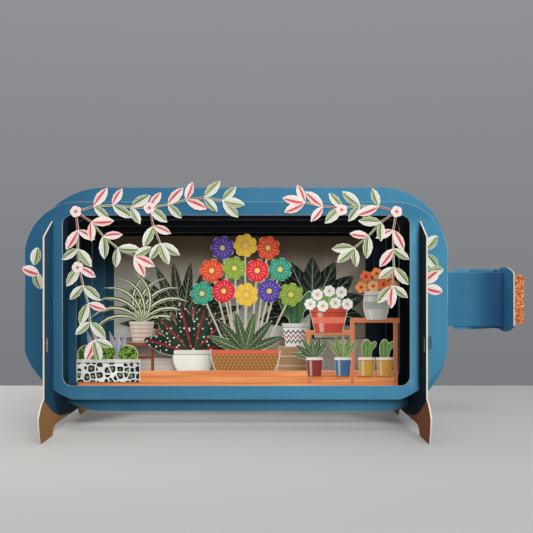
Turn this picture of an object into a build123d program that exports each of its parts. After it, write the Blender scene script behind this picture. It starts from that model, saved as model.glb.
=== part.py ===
from build123d import *
import os
from math import asin, cos, radians, sin, sqrt

# A greeting card that stands open: three parallel panels in the outline of a bottle lying
# on its side, crossed by two cradles with feet. Length along X, neck at +X, front at -Y.
# The origin is on the table, under the middle of the whole card. Sizes are in millimetres.

# Card thicknesses, and the clearance of a slot over the card in it
panel_card = 0.8
cradle_card = 0.7
print_card = 0.5
slot_clearance = 0.3

# Window of the front and middle panels, and the bottle's axis above the table
window_length = 157.3
window_height = 77.2
window_radius = 4.3
axis_height = 61.0

# Front and rear panels: rims round the window, and corners cut back along arcs
frame_end_rim = 17.05
frame_side_rim = 6.1
corner_cut = 21.5
top_corner_bow = 5.2
low_corner_bow = 3.4
panel_pitch = 31.0

# Middle panel: how far it stands past the front panel, its corners, neck and cork tongue
body_end_margin = 5.8
body_side_margin = 9.7
heel_radius = 36.5
shoulder_radius = 31.7
neck_length = 28.1
neck_height = 26.2
cork_length = 9.7
cork_height = 23.9

# Rear window, smaller than the front one on each side
rear_end_margin = 2.1
rear_side_margin = 1.2

# Cradles: place, and depths past the front panel's plane
cradle_inset = 12.5
cradle_overhang = 17.1
crown_overhang = 1.8
reach_overhang = 27.0
toe_overhang = 23.6
heel_overhang = 1.6

# Cradles: heights above the axis and above the table, and the curves of the feet
crown_rise = 41.5
crown_edge_rise = 35.4
edge_rise = 28.0
edge_low = 18.6
reach_height = 11.4
under_height = 4.3
heel_run = 8.0
knee_bow = 1.0
shin_bow = 0.5
heel_bow = 1.2

# Lock openings beside the panel slots, and lock slits in the cradles
lock_width = 5.2
lock_height = 6.3
lock_drop = 22.4
lock_slit_overhang = 12.3
lock_slit_width = 0.9

# Lip disc, and the folded brace behind the neck
lip_height = 31.2
lip_half_depth = 16.8
lip_edge_height = 25.0
lip_corner = 1.2
brace_height = 29.6
brace_start = 4.0
brace_glue = 7.0
brace_tab = 5.5
brace_inset = 0.8

# Rear tray: its mouth inside the rear window, its walls' slant, and its glued flange
tray_lip_end = 6.4
tray_lip_side = 3.2
tray_slant_end = 2.55
tray_slant_side = 1.1
tray_depth = 14.6
tray_glue_end = 4.8
tray_glue_side = 4.2

# Floor strips across the windows, and how far the scene pieces reach down on them
strip_drop = 5.2
front_strip_height = 9.1
rear_strip_height = 12.6
strip_inset = 0.8
footing = 3.7

# Leaves: short straight cuts along each curved side, and petals' notches
leaf_cuts = 5
sprig_cuts = 4
petal_notch = 0.26

# Garlands on the front panel, from a corner of the window
stem_width = 0.9
sprig_leaf = 10.4
sprig_leaf_width = 4.6
small_sprig_leaf = 8.8
small_sprig_leaf_width = 3.9
sprig_leaf_angle = 46.0
sprig_leaf_lean = 9.0
sprig_pitch = 8.4
blossom_radius = 2.7
garland_inset = 6.2
garland_rise = 1.6

# Scene on the front strip
planter_length = 31.0
planter_height = 11.0
planter_inset = 0.3
shrub_radius = 5.0
spike_length = 15.0
spike_width = 2.4
shelf_length = 46.0
shelf_low_height = 25.0
shelf_high_height = 31.0
shelf_board = 2.2
shelf_post = 2.0
shelf_rail_rise = 3.0
pot_overlap = 0.8
daisy_pot_width = 19.0
daisy_pot_base = 13.5
daisy_pot_height = 11.5
daisy_leaf = 12.0
daisy_leaf_width = 2.8
jug_width = 10.5
jug_base = 9.0
jug_height = 14.0
jug_belly = 1.4
jug_leaf = 11.0
jug_leaf_width = 2.6
flower_radius = 2.9
low_pot_width = 8.4
low_pot_base = 6.7
low_pot_height = 9.0
low_leaf = 11.4
low_leaf_width = 3.0
cactus_width = 5.2
cactus_height = 10.4

# Scene on the rear strip, at these places from the window's left edge
stool_place = 28.0
bowl_place = 55.0
bouquet_place = 82.0
crate_place = 108.0
bowl_tab = 5.0
bouquet_tab = 11.0
tab_length = 14.0
tab_flange = 3.0
stool_width = 15.0
stool_height = 17.0
stool_leg = 1.8
stool_pot_width = 13.0
stool_pot_base = 9.5
stool_pot_height = 11.0
blade_length = 27.0
blade_width = 2.3
blade_arch = 5.6
bowl_width = 20.0
bowl_base = 10.0
bowl_height = 13.5
bowl_belly = 2.4
broad_leaf = 27.0
broad_leaf_width = 9.4
inner_leaf = 24.0
inner_leaf_width = 7.4
basket_width = 36.0
basket_base = 26.0
basket_height = 14.0
basket_belly = 1.2
basket_leaf = 21.0
basket_leaf_width = 5.2
bloom_radius = 6.1
crate_width = 18.0
crate_height = 15.0
crate_pot_width = 14.0
crate_pot_base = 10.4
crate_pot_height = 12.0
column_width = 8.8
column_height = 22.0
column_arm_width = 4.8
column_arm_height = 12.8

# Palm fans on the back wall, at these places from the tray's middle
fern_places = (-31.0, 39.0)
fern_trunks = (19.0, 26.0)
palm_leaf = 34.0
palm_leaf_width = 6.0
wide_leaf = 29.0
wide_leaf_width = 11.0
fern_trunk_width = 2.2
fern_rise = 1.0

# Sizes and places that follow
frame_length = window_length + 2 * frame_end_rim
frame_height = window_height + 2 * frame_side_rim
body_length = frame_length + 2 * body_end_margin
body_height = frame_height + 2 * body_side_margin
total_length = body_length + neck_length + cork_length
body_x = (body_length - total_length) / 2
shoulder_x = body_x + body_length / 2
lip_x = shoulder_x + neck_length
cork_x = lip_x + cork_length
window_left = body_x - window_length / 2
window_right = body_x + window_length / 2
window_bottom = axis_height - window_height / 2
window_top = axis_height + window_height / 2
cradle_x = (body_x - frame_length / 2 + cradle_inset, body_x + frame_length / 2 - cradle_inset)
garland_front = -panel_pitch - panel_card / 2 - print_card
tray_mouth_length = window_length - 2 * (rear_end_margin + tray_lip_end)
tray_mouth_height = window_height - 2 * (rear_side_margin + tray_lip_side)
tray_front = panel_pitch + panel_card / 2
strip_low = window_bottom - strip_drop
stand_z = strip_low + footing
front_strip_face = -panel_card / 2 - print_card
rear_strip_face = panel_pitch - panel_card / 2 - print_card
first_layer = front_strip_face - print_card
second_layer = first_layer - print_card
shelf_x = window_right - shelf_length / 2


# Flat outlines

def bowed_rectangle(length, height, cut, top_bow, low_bow):
    """Rectangle with each corner cut back and closed by an arc."""
    a, b = length / 2, height / 2
    points = [(a - cut, b), (a, b - cut), (a, cut - b), (a - cut, -b),
              (cut - a, -b), (-a, cut - b), (-a, b - cut), (cut - a, b)]
    edges = []
    for i in range(0, len(points), 2):
        bow = top_bow if points[i][1] > 0 else low_bow
        edges.append(SagittaArc(points[i], points[i + 1], bow))
        edges.append(Line(points[i + 1], points[(i + 2) % len(points)]))
    return make_face(edges)


def arc_points(length, rise, cuts=leaf_cuts):
    """Cuts along an arc of the given chord and rise, from the origin along +X."""
    radius = (length * length / 4 + rise * rise) / (2 * rise)
    half = asin(length / 2 / radius)
    turns = [half * (2 * i / cuts - 1) for i in range(cuts + 1)]
    return [(length / 2 + radius * sin(a), radius * cos(a) - radius + rise) for a in turns]


def leaf(length, width, cuts=leaf_cuts):
    """Pointed leaf along +X, its stalk at the origin."""
    edge = arc_points(length, width / 2, cuts)
    return Polygon(*[(x, -y) for x, y in edge], *edge[-2:0:-1], align=None)


def blade(length, width, arch, side):
    """Narrow leaf along +X that arches to the given side."""
    points = arc_points(length, arch) + arc_points(length, arch + width)[-2:0:-1]
    if side < 0:
        points = [(x, -y) for x, y in reversed(points)]
    return Polygon(*points, align=None)


def flower(radius, petals):
    """Round flower whose edge dips between its petals."""
    points = []
    for i in range(petals):
        for share, reach in ((0.0, 1 - petal_notch), (0.3, 1.0), (0.7, 1.0)):
            angle = radians(360 * (i + share) / petals)
            points.append((radius * reach * cos(angle), radius * reach * sin(angle)))
    return Polygon(*points, align=None)


def pot(top, base, height):
    """Tapered pot standing on the origin."""
    return Polygon((-base / 2, 0), (base / 2, 0), (top / 2, height), (-top / 2, height), align=None)


def round_pot(top, base, height, belly):
    """Pot with bulging sides, standing on the origin."""
    return make_face([Line((-top / 2, height), (top / 2, height)),
                      SagittaArc((top / 2, height), (base / 2, 0), belly),
                      Line((base / 2, 0), (-base / 2, 0)),
                      SagittaArc((-base / 2, 0), (-top / 2, height), belly)])


def post(width, height):
    """Upright bar standing on the origin."""
    return Rectangle(width, height, align=(Align.CENTER, Align.MIN))


def bar(start, end, width):
    """Straight strip between two points."""
    run = Line(start, end)
    turn = run.tangent_angle_at(0.5)
    return Pos(run @ 0.5) * Rot(0, 0, turn) * Rectangle(run.length, width)


def fan(piece, count, first, last):
    """Copies of a leaf turned evenly from the first to the last angle."""
    step = (last - first) / (count - 1)
    return [Rot(0, 0, first + step * i) * piece for i in range(count)]


def at(x, z, pieces):
    """The pieces moved together to one place."""
    return [Pos(x, z) * piece for piece in pieces]


def heads(x, z, head, radius, places):
    """Flowers or shrubs at places counted in their radius from one point."""
    return [Pos(x + dx * radius, z + dz * radius) * head for dx, dz in places]


def spray(start, heading, turns, side):
    """Stem that turns a little at each node, with a large and a small leaf there in turn."""
    large = leaf(sprig_leaf, sprig_leaf_width, sprig_cuts)
    small = leaf(small_sprig_leaf, small_sprig_leaf_width, sprig_cuts)
    shapes = []
    x, z = start
    for turn in turns:
        heading += turn
        end = (x + sprig_pitch * cos(radians(heading)), z + sprig_pitch * sin(radians(heading)))
        shapes.append(bar((x, z), end, stem_width))
        x, z = end
        near = heading + side * (sprig_leaf_angle - sprig_leaf_lean)
        far = heading - side * (sprig_leaf_angle + sprig_leaf_lean)
        shapes += at(x, z, [Rot(0, 0, near) * large, Rot(0, 0, far) * small])
        side = -side
    return shapes + at(x, z, [Rot(0, 0, heading) * large])


# Card solids

def sheet(outline, front, thickness):
    """Card of an x and z outline, its front face at y = front."""
    return extrude(Plane.XZ.offset(-front - thickness) * outline, thickness)


def cutout(shapes, front):
    """Printed card cut to the joined outline of the shapes."""
    return sheet(Sketch() + shapes, front, print_card)


def tabbed_cutout(shapes, x, tab_depth):
    """Printed card that stands out from the rear strip on a folded tab."""
    glued_y = rear_strip_face - print_card
    front = glued_y - tab_depth
    corner = (Align.CENTER, Align.MIN, Align.MIN)
    tab = Pos(x, front, stand_z) * Box(tab_length, tab_depth + print_card, print_card, align=corner)
    flange = Pos(x, glued_y, stand_z) * Box(tab_length, print_card, tab_flange, align=corner)
    return cutout(shapes, front) + tab + flange


def window(end_margin=0.0, side_margin=0.0):
    size = (window_length - 2 * end_margin, window_height - 2 * side_margin)
    return Pos(body_x, axis_height) * RectangleRounded(*size, window_radius)


def cradle_slots():
    """Slots from below up to the axis, where a panel straddles the cradles."""
    return [Pos(x, 0) * post(cradle_card + slot_clearance, axis_height) for x in cradle_x]


def lock_openings():
    """Small openings on the outer side of each slot."""
    opening = post(lock_width, lock_height)
    return [Pos(x + side * lock_width / 2, axis_height - lock_drop) * opening
            for x, side in zip(cradle_x, (-1, 1))]


def frame_panel(plane_y, end_margin=0.0, side_margin=0.0):
    outline = bowed_rectangle(frame_length, frame_height, corner_cut, top_corner_bow, low_corner_bow)
    outline = Pos(body_x, axis_height) * outline - window(end_margin, side_margin)
    return sheet(outline - cradle_slots() - lock_openings(), plane_y - panel_card / 2, panel_card)


def middle_panel():
    body = Pos(body_x, axis_height) * Rectangle(body_length, body_height)
    body = fillet(body.vertices().group_by(Axis.X)[0], heel_radius)
    body = fillet(body.vertices().group_by(Axis.X)[-1], shoulder_radius)
    along = (Align.MIN, Align.CENTER)
    neck = Pos(body_x, axis_height) * Rectangle(lip_x - body_x, neck_height, align=along)
    cork = Pos(body_x, axis_height) * Rectangle(cork_x - body_x, cork_height, align=along)
    outline = body + neck + cork - window() - cradle_slots()
    return sheet(outline, -panel_card / 2, panel_card)


def cradle_side(side):
    """Edges of one half of a cradle, from the crown down to the underside."""
    def depth(overhang):
        return side * (panel_pitch + overhang)

    crown_end = (depth(crown_overhang), axis_height + crown_edge_rise)
    edge_top = (depth(cradle_overhang), axis_height + edge_rise)
    edge_end = (depth(cradle_overhang), edge_low)
    reach = (depth(reach_overhang), reach_height)
    toe = (depth(toe_overhang), 0)
    heel = (depth(heel_overhang), 0)
    under = (heel[0] - side * heel_run, under_height)
    return [Line(crown_end, edge_top), Line(edge_top, edge_end),
            SagittaArc(edge_end, reach, side * knee_bow), SagittaArc(reach, toe, side * shin_bow),
            Line(toe, heel), SagittaArc(heel, under, -side * heel_bow)]


def cradle(x):
    """Cross plate with two feet, slotted from above for the three panels."""
    front, rear = cradle_side(-1), cradle_side(1)
    crown = ThreePointArc(front[0] @ 0, (0, axis_height + crown_rise), rear[0] @ 0)
    under = Line(front[-1] @ 1, rear[-1] @ 1)
    slot = post(panel_card + slot_clearance, crown_rise)
    slit = post(lock_slit_width, lock_height)
    slit_y = panel_pitch + lock_slit_overhang
    outline = Sketch() + make_face([crown, under] + front + rear)
    outline -= [Pos(y, axis_height) * slot for y in (-panel_pitch, 0, panel_pitch)]
    outline -= [Pos(y, axis_height - lock_drop) * slit for y in (-slit_y, slit_y)]
    return extrude(Plane.YZ.offset(x - cradle_card / 2) * outline, cradle_card)


def lip_disc():
    """Plate across the neck with a slit for the cork tongue."""
    d, edge, top = lip_half_depth, lip_edge_height / 2, lip_height / 2
    face = make_face([Line((-d, -edge), (-d, edge)), ThreePointArc((-d, edge), (0, top), (d, edge)),
                      Line((d, edge), (d, -edge)), ThreePointArc((d, -edge), (0, -top), (-d, -edge))])
    face = fillet(face.vertices(), lip_corner)
    face -= Rectangle(panel_card + slot_clearance, cork_height + slot_clearance)
    return extrude(Plane.YZ.offset(lip_x) * Pos(0, axis_height) * face, print_card)


def neck_brace():
    """Folded strip from the back of the neck to the rear of the lip."""
    half = print_card / 2
    glued_y = panel_card / 2 + half
    tab_x = lip_x - half
    tab_y = lip_half_depth - brace_inset
    path = Polyline((shoulder_x + brace_start, glued_y), (shoulder_x + brace_start + brace_glue, glued_y),
                    (tab_x, tab_y), (tab_x, tab_y - brace_tab))
    rim = offset(path, half, kind=Kind.INTERSECTION, side=Side.BOTH, closed=True)
    return extrude(Pos(0, 0, axis_height - brace_height / 2) * make_face(rim.edges()), brace_height)


def tray_block(grow):
    """Tapered block: the hollow of the tray, or its outside when grown by a thickness."""
    def section(inset_end, inset_side, y):
        length = tray_mouth_length + 2 * (grow - inset_end)
        height = tray_mouth_height + 2 * (grow - inset_side)
        return Plane.XZ.offset(-y) * Pos(body_x, axis_height) * Rectangle(length, height)

    return loft([section(0, 0, tray_front),
                 section(tray_slant_end, tray_slant_side, tray_front + tray_depth + grow)])


def rear_tray():
    length = window_length + 2 * (tray_glue_end - rear_end_margin)
    height = window_height + 2 * (tray_glue_side - rear_side_margin)
    flange = Rectangle(length, height) - Rectangle(tray_mouth_length, tray_mouth_height)
    flange = sheet(Pos(body_x, axis_height) * flange, tray_front, print_card)
    return flange + tray_block(print_card) - tray_block(0)


def floor_strip(face, height):
    length = window_length - 2 * strip_inset
    return cutout([Pos(body_x, strip_low) * post(length, height)], face)


# Garlands

def left_garland():
    x, z = window_left + garland_inset, window_top + garland_rise
    shapes = spray((x, z), 16, (0, -12, -10, 4, 12, 4, -6, -18), 1)
    shapes += spray((x, z), -84, (0, -6, 4, 8, 4, -10, 8), -1)
    shapes += spray((x, z), -34, (0, -16, 10, 14), 1)
    fork = (3.95, 0.2)
    shapes += spray((x + fork[0] * sprig_pitch, z + fork[1] * sprig_pitch), -78, (0, 10), -1)
    shapes += heads(x, z, flower(blossom_radius, 5), sprig_pitch, ((0, 0), fork, (0.1, -3.0)))
    return cutout(shapes, garland_front)


def right_garland():
    x, z = window_right - garland_inset, window_top + garland_rise
    shapes = spray((x, z), 164, (0, 14, 8, -10, -8), 1)
    shapes += spray((x, z), -100, (0, 10, 2, -6), 1)
    shapes += spray((x, z), 214, (0, 14, -8), -1)
    shapes += heads(x, z, flower(blossom_radius, 5), sprig_pitch, ((0, 0), (-2.95, 0.1)))
    return cutout(shapes, garland_front)


# Scene on the front strip

def planter_box():
    """Long box with shrubs and upright spikes."""
    x = window_left + planter_inset + planter_length / 2
    top = stand_z + planter_height
    spikes = fan(leaf(spike_length, spike_width), 3, 74, 106)
    shapes = [Pos(x, stand_z) * post(planter_length, planter_height)]
    shapes += heads(x, top, Circle(shrub_radius), shrub_radius, ((-2.05, 0.4), (-0.25, 0.6), (1.9, 0.4)))
    shapes += at(x - planter_length * 0.2, top - pot_overlap, spikes)
    shapes += at(x + planter_length * 0.15, top - pot_overlap, spikes)
    return cutout(shapes, first_layer)


def shelf_stand():
    """Stepped stand: a low bay beside a high one, with a rail across."""
    bay = shelf_length / 2
    levels = ((-1, shelf_low_height), (1, shelf_high_height))
    shapes = [Pos(shelf_x, stand_z) * post(shelf_post, shelf_high_height)]
    for side, height in levels:
        shapes.append(Pos(shelf_x + side * (bay - shelf_post), stand_z) * post(shelf_post, height))
        shapes.append(Pos(shelf_x + side * bay / 2, stand_z + height - shelf_board) * post(bay, shelf_board))
    shapes.append(Pos(shelf_x, stand_z + shelf_rail_rise) * post(shelf_length - 2 * shelf_post, shelf_board))
    return cutout(shapes, first_layer)


def daisy_pot():
    """Wide pot of daisies on the low shelf."""
    x = shelf_x - shelf_length / 4
    z = stand_z + shelf_low_height - pot_overlap
    rim = z + daisy_pot_height
    shapes = [Pos(x, z) * pot(daisy_pot_width, daisy_pot_base, daisy_pot_height)]
    shapes += at(x, rim - pot_overlap, fan(leaf(daisy_leaf, daisy_leaf_width), 7, 25, 155))
    places = ((-3.1, 0.7), (-1.9, 2.3), (-1.0, 0.4), (0.1, 2.9), (1.1, 0.9), (2.1, 2.7), (3.1, 0.7))
    shapes += heads(x, rim, flower(flower_radius, 7), flower_radius, places)
    return cutout(shapes, second_layer)


def jug_blooms():
    """Jug of round blooms on the high shelf."""
    x = shelf_x + shelf_length / 4
    z = stand_z + shelf_high_height - pot_overlap
    rim = z + jug_height
    shapes = [Pos(x, z) * round_pot(jug_width, jug_base, jug_height, jug_belly)]
    shapes += at(x, rim - pot_overlap, fan(leaf(jug_leaf, jug_leaf_width), 5, 35, 145))
    places = ((-2.5, 0.6), (-1.7, 2.4), (-0.5, 0.8), (0.1, 2.9), (1.2, 1.1), (2.0, 2.8), (2.8, 0.9))
    shapes += heads(x, rim, flower(flower_radius, 5), flower_radius, places)
    return cutout(shapes, second_layer)


def low_pot(share, plants):
    """Small pot on the stand's rail, with plants at its rim."""
    x = shelf_x + shelf_length * share
    z = stand_z + shelf_rail_rise
    shapes = [Pos(x, z) * pot(low_pot_width, low_pot_base, low_pot_height)]
    return shapes + at(x, z + low_pot_height - pot_overlap, plants)


def red_pot():
    return cutout(low_pot(-0.4, fan(leaf(low_leaf, low_leaf_width), 6, 55, 165)), second_layer)


def blue_pot():
    return cutout(low_pot(-0.1, fan(leaf(low_leaf, low_leaf_width), 5, 52, 128)), second_layer)


def mustard_pots():
    """Two small pots side by side, each with a round cactus and one arm."""
    pad = Pos(0, cactus_height * 0.42) * Ellipse(cactus_width / 2, cactus_height / 2)
    arm = Rot(0, 0, -38) * Ellipse(cactus_width * 0.29, cactus_height * 0.29)
    plants = [pad, Pos(cactus_width / 2, cactus_height * 0.58) * arm]
    return cutout(low_pot(0.15, plants) + low_pot(0.34, plants), second_layer)


# Scene on the rear strip

def stool_plant():
    """Stool with a pot of arching leaves."""
    x = window_left + stool_place
    seat = stand_z + stool_height
    leg = post(stool_leg, stool_height)
    shapes = [Pos(x + side * (stool_width / 2 - stool_leg), stand_z) * leg for side in (-1, 1)]
    shapes.append(Pos(x, seat - stool_leg) * post(stool_width, stool_leg))
    shapes.append(Pos(x, stand_z + stool_height / 2) * post(stool_width - 2 * stool_leg, stool_leg))
    shapes.append(Pos(x, seat) * pot(stool_pot_width, stool_pot_base, stool_pot_height))
    leaves = fan(blade(blade_length, blade_width, blade_arch, 1), 6, -14, 80)
    leaves += fan(blade(blade_length, blade_width, blade_arch, -1), 6, 100, 194)
    shapes += at(x, seat + stool_pot_height - pot_overlap, leaves)
    return cutout(shapes, rear_strip_face - print_card)


def bowl_plant():
    """Round bowl of broad leaves."""
    x = window_left + bowl_place
    shapes = [Pos(x, stand_z) * round_pot(bowl_width, bowl_base, bowl_height, bowl_belly)]
    leaves = fan(leaf(broad_leaf, broad_leaf_width), 6, 16, 164)
    leaves += fan(leaf(inner_leaf, inner_leaf_width), 5, 31, 149)
    return tabbed_cutout(shapes + at(x, stand_z + bowl_height - 2 * pot_overlap, leaves), x, bowl_tab)


def basket_bouquet():
    """Trug of round blooms on thin stems."""
    x = window_left + bouquet_place
    rim = stand_z + basket_height
    places = ((-3.6, 4.7), (-1.8, 4.9), (0.1, 4.6), (2.0, 4.9), (3.8, 4.6), (-2.8, 6.6),
              (-0.9, 6.8), (1.0, 6.6), (2.9, 6.7), (-1.9, 8.5), (0.0, 8.7), (1.9, 8.5))
    shapes = [Pos(x, stand_z) * round_pot(basket_width, basket_base, basket_height, basket_belly)]
    for dx, dz in places:
        head = (x + dx * bloom_radius, rim + dz * bloom_radius)
        shapes.append(bar((x + dx * bloom_radius * 0.4, rim - pot_overlap), head, stem_width))
    shapes += heads(x, rim, flower(bloom_radius, 7), bloom_radius, places)
    leaves = fan(leaf(basket_leaf, basket_leaf_width), 6, 22, 158)
    return tabbed_cutout(shapes + at(x, rim - pot_overlap, leaves), x, bouquet_tab)


def crate_cactus():
    """Crate with a banded pot and a column cactus with two arms on it."""
    x = window_left + crate_place
    top = stand_z + crate_height
    rim = top + crate_pot_height
    arm = Ellipse(column_arm_width / 2, column_arm_height / 2)
    shapes = [Pos(x, stand_z) * post(crate_width, crate_height),
              Pos(x, top) * pot(crate_pot_width, crate_pot_base, crate_pot_height),
              Pos(x, rim + column_height * 0.37) * Ellipse(column_width / 2, column_height / 2)]
    for side, rise in ((-1, 0.37), (1, 0.5)):
        place = Pos(x + side * column_width * 0.58, rim + rise * column_height)
        shapes.append(place * Rot(0, 0, -side * 24) * arm)
    return cutout(shapes, rear_strip_face - print_card)


def wall_fern(place, trunk, leaves):
    """Fan of leaves on a trunk, glued to the back wall."""
    x = body_x + place
    base = axis_height - tray_mouth_height / 2 + tray_slant_side + fern_rise
    shapes = [Pos(x, base) * post(fern_trunk_width, trunk)]
    shapes += at(x, base + trunk - pot_overlap, leaves)
    return cutout(shapes, tray_front + tray_depth - print_card)


palm_leaves = fan(leaf(palm_leaf, palm_leaf_width), 12, 0, 180)
wide_leaves = fan(leaf(wide_leaf, wide_leaf_width), 9, -10, 190)

nodes = {
    "front_panel": frame_panel(-panel_pitch),
    "middle_panel": middle_panel(),
    "rear_panel": frame_panel(panel_pitch, rear_end_margin, rear_side_margin),
    "rear_tray": rear_tray(),
    "left_cradle": cradle(cradle_x[0]),
    "right_cradle": cradle(cradle_x[1]),
    "lip_disc": lip_disc(),
    "neck_brace": neck_brace(),
    "front_floor_strip": floor_strip(front_strip_face, front_strip_height),
    "rear_floor_strip": floor_strip(rear_strip_face, rear_strip_height),
    "left_garland": left_garland(),
    "right_garland": right_garland(),
    "planter_box": planter_box(),
    "shelf_stand": shelf_stand(),
    "daisy_pot": daisy_pot(),
    "jug_blooms": jug_blooms(),
    "red_pot": red_pot(),
    "blue_pot": blue_pot(),
    "mustard_pots": mustard_pots(),
    "stool_plant": stool_plant(),
    "bowl_plant": bowl_plant(),
    "basket_bouquet": basket_bouquet(),
    "crate_cactus": crate_cactus(),
    "fern_left": wall_fern(fern_places[0], fern_trunks[0], palm_leaves),
    "fern_right": wall_fern(fern_places[1], fern_trunks[1], wide_leaves),
}

os.makedirs("parts", exist_ok=True)
for name, shape in nodes.items():
    export_step(shape, f"parts/{name}.step")
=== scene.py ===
import bmesh
import bpy
from math import atan2, cos, floor, hypot, pi, radians, sin, sqrt
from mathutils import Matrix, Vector
from random import Random


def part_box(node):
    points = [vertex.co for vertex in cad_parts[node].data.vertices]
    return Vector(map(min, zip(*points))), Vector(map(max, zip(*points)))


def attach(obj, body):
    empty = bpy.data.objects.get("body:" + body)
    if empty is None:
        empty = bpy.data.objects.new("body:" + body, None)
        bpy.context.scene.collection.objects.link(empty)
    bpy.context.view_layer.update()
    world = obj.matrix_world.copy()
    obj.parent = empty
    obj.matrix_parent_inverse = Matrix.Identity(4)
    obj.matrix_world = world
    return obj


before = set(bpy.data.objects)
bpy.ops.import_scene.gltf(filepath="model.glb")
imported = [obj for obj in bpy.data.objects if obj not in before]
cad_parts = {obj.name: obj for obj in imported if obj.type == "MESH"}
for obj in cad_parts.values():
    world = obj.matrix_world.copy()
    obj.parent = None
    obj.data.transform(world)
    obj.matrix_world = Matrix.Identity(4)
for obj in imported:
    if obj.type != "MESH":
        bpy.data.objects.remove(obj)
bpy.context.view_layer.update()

# A greeting card that stands open: three blue panels in the outline of a bottle lying on its
# side, two cradles with kraft feet, and printed cut-outs of a planted room. The front is at -Y.
# Places and sizes on the card are in millimetres until a mesh is made.

mm = 0.001


def corner(node):
    """Lowest corner of a node's box, in millimetres."""
    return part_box(node)[0] / mm


# Places that the prints share with the card's sheets
panel_low = corner("front_panel")
panel_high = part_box("front_panel")[1] / mm
body_x = (panel_low.x + panel_high.x) / 2
axis_height = (panel_low.z + panel_high.z) / 2
frame_half = (panel_high - panel_low) / 2
frame_end_rim = 17.05
frame_side_rim = 6.1
body_end_margin = 5.8
window_left = panel_low.x + frame_end_rim
window_right = panel_high.x - frame_end_rim
window_top = panel_high.z - frame_side_rim
window_height = 77.2
rear_side_margin = 1.2
shoulder_x = panel_high.x + body_end_margin
lip_x = corner("lip_disc").x
cork_start = lip_x + 0.3
cradle_reach = body_x - corner("left_cradle").x

# Rear tray: its card, its glued flange, its mouth inside the rear window, and its walls' slant
print_card = 0.5
tray_glue_end = 4.8
tray_glue_side = 4.2
tray_lip_end = 6.4
tray_lip_side = 3.2
tray_slant_end = 2.55
tray_slant_side = 1.1

# Shelf stand, the foot of everything that stands on the boards, and how far one thing starts
# below the top of the one under it
shelf_low = corner("shelf_stand")
stand_z = shelf_low.z
shelf_half = 23.0
shelf_x = shelf_low.x + shelf_half
leg_reach = 21.0
high_shelf = 31.0
low_shelf = 25.0
rail_height = 3.0
tuck = 0.8

# Places along the boards from the window's left edge, and of the ferns from its middle, with
# the height at which the ferns start
planter_place = 0.3
stool_place = 28.0
bowl_place = 55.0
trug_place = 82.0
crate_place = 108.0
palm_place = -31.0
wide_fern_place = 39.0
fern_rise = 1.0

# Leaf sprays on the front panel
large_sprig = (10.4, 4.6)
small_sprig = (8.8, 3.9)
sprig_near = 37.0
sprig_far = 55.0
sprig_pitch = 8.4
garland_inset = 6.2
garland_rise = 1.6

# Where the inner frames' painted shade rounds its corners, the arc that parts blue from kraft on
#  the cradles, the painted highlight right of the front window, and the height at which corners are
#  rubbed least
corner_round = 24.0
kraft_arc_radius = 99.3
kraft_arc_height = 104.9
painted_highlight_x = window_right + 2.2
painted_highlight_half = 2.8
calm_height = 36.0


def ink(red, green, blue):
    """A printed colour, given as it looks from 0 to 255, as the shader wants it."""
    return tuple(((level / 255 + 0.055) / 1.055) ** 2.4 for level in (red, green, blue)) + (1.0,)


# Inks and bare card
bare_card = ink(236, 228, 208)
# Near-black painted shade, laid where the inner frames, tray and cradles fall in shadow
painted_shade = ink(3, 8, 13)
leaf_white = ink(254, 252, 242)
olive = ink(98, 104, 62)
floor_beige = ink(228, 214, 202)
wall_cream = ink(240, 240, 228)
pot_shade = ink(60, 40, 34)
orange_timber = ink(222, 130, 84)
stool_timber = ink(150, 84, 56)
stem_red = ink(152, 62, 62)
stem_green = ink(134, 138, 84)
greens = [ink(112, 136, 70), ink(94, 118, 60), ink(132, 150, 90), ink(104, 128, 62)]
deep_greens = [ink(52, 84, 50), ink(38, 66, 44), ink(66, 98, 56)]
fern_greens = [ink(40, 52, 42), ink(52, 66, 52), ink(34, 46, 38)]


class Value:
    """A shader output that takes part in expressions."""

    def __init__(self, shader, socket):
        self.shader = shader
        self.socket = socket

    def math(self, operation, *others):
        return self.shader.math(operation, self, *others)

    def __add__(self, other):
        return self.shader.math("ADD", self, other)

    def __radd__(self, other):
        return self.shader.math("ADD", other, self)

    def __sub__(self, other):
        return self.shader.math("SUBTRACT", self, other)

    def __rsub__(self, other):
        return self.shader.math("SUBTRACT", other, self)

    def __mul__(self, other):
        return self.shader.math("MULTIPLY", self, other)

    def __rmul__(self, other):
        return self.shader.math("MULTIPLY", other, self)

    def __truediv__(self, other):
        return self.shader.math("DIVIDE", self, other)

    def __pow__(self, other):
        return self.shader.math("POWER", self, other)

    def __abs__(self):
        return self.shader.math("ABSOLUTE", self)

    def __gt__(self, other):
        return self.shader.math("GREATER_THAN", self, other)

    def __lt__(self, other):
        return self.shader.math("LESS_THAN", self, other)

    def fade(self, low, high):
        """0 below low and 1 above high, with a smooth step between."""
        smooth = {"interpolation_type": "SMOOTHSTEP"}
        return self.shader.node("ShaderNodeMapRange", smooth, {0: self, 1: low, 2: high})

    def inside(self, width, soft):
        """1 where this value lies within a width either side of nought."""
        return 1.0 - abs(self).fade(width - soft, width + soft)

    def wave(self, turns):
        """A wave from 0 to 1 that turns so many times for each unit of this value."""
        return (self * (2 * pi * turns)).math("SINE") * 0.5 + 0.5

    def larger(self, other):
        return self.math("MAXIMUM", other)


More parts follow.
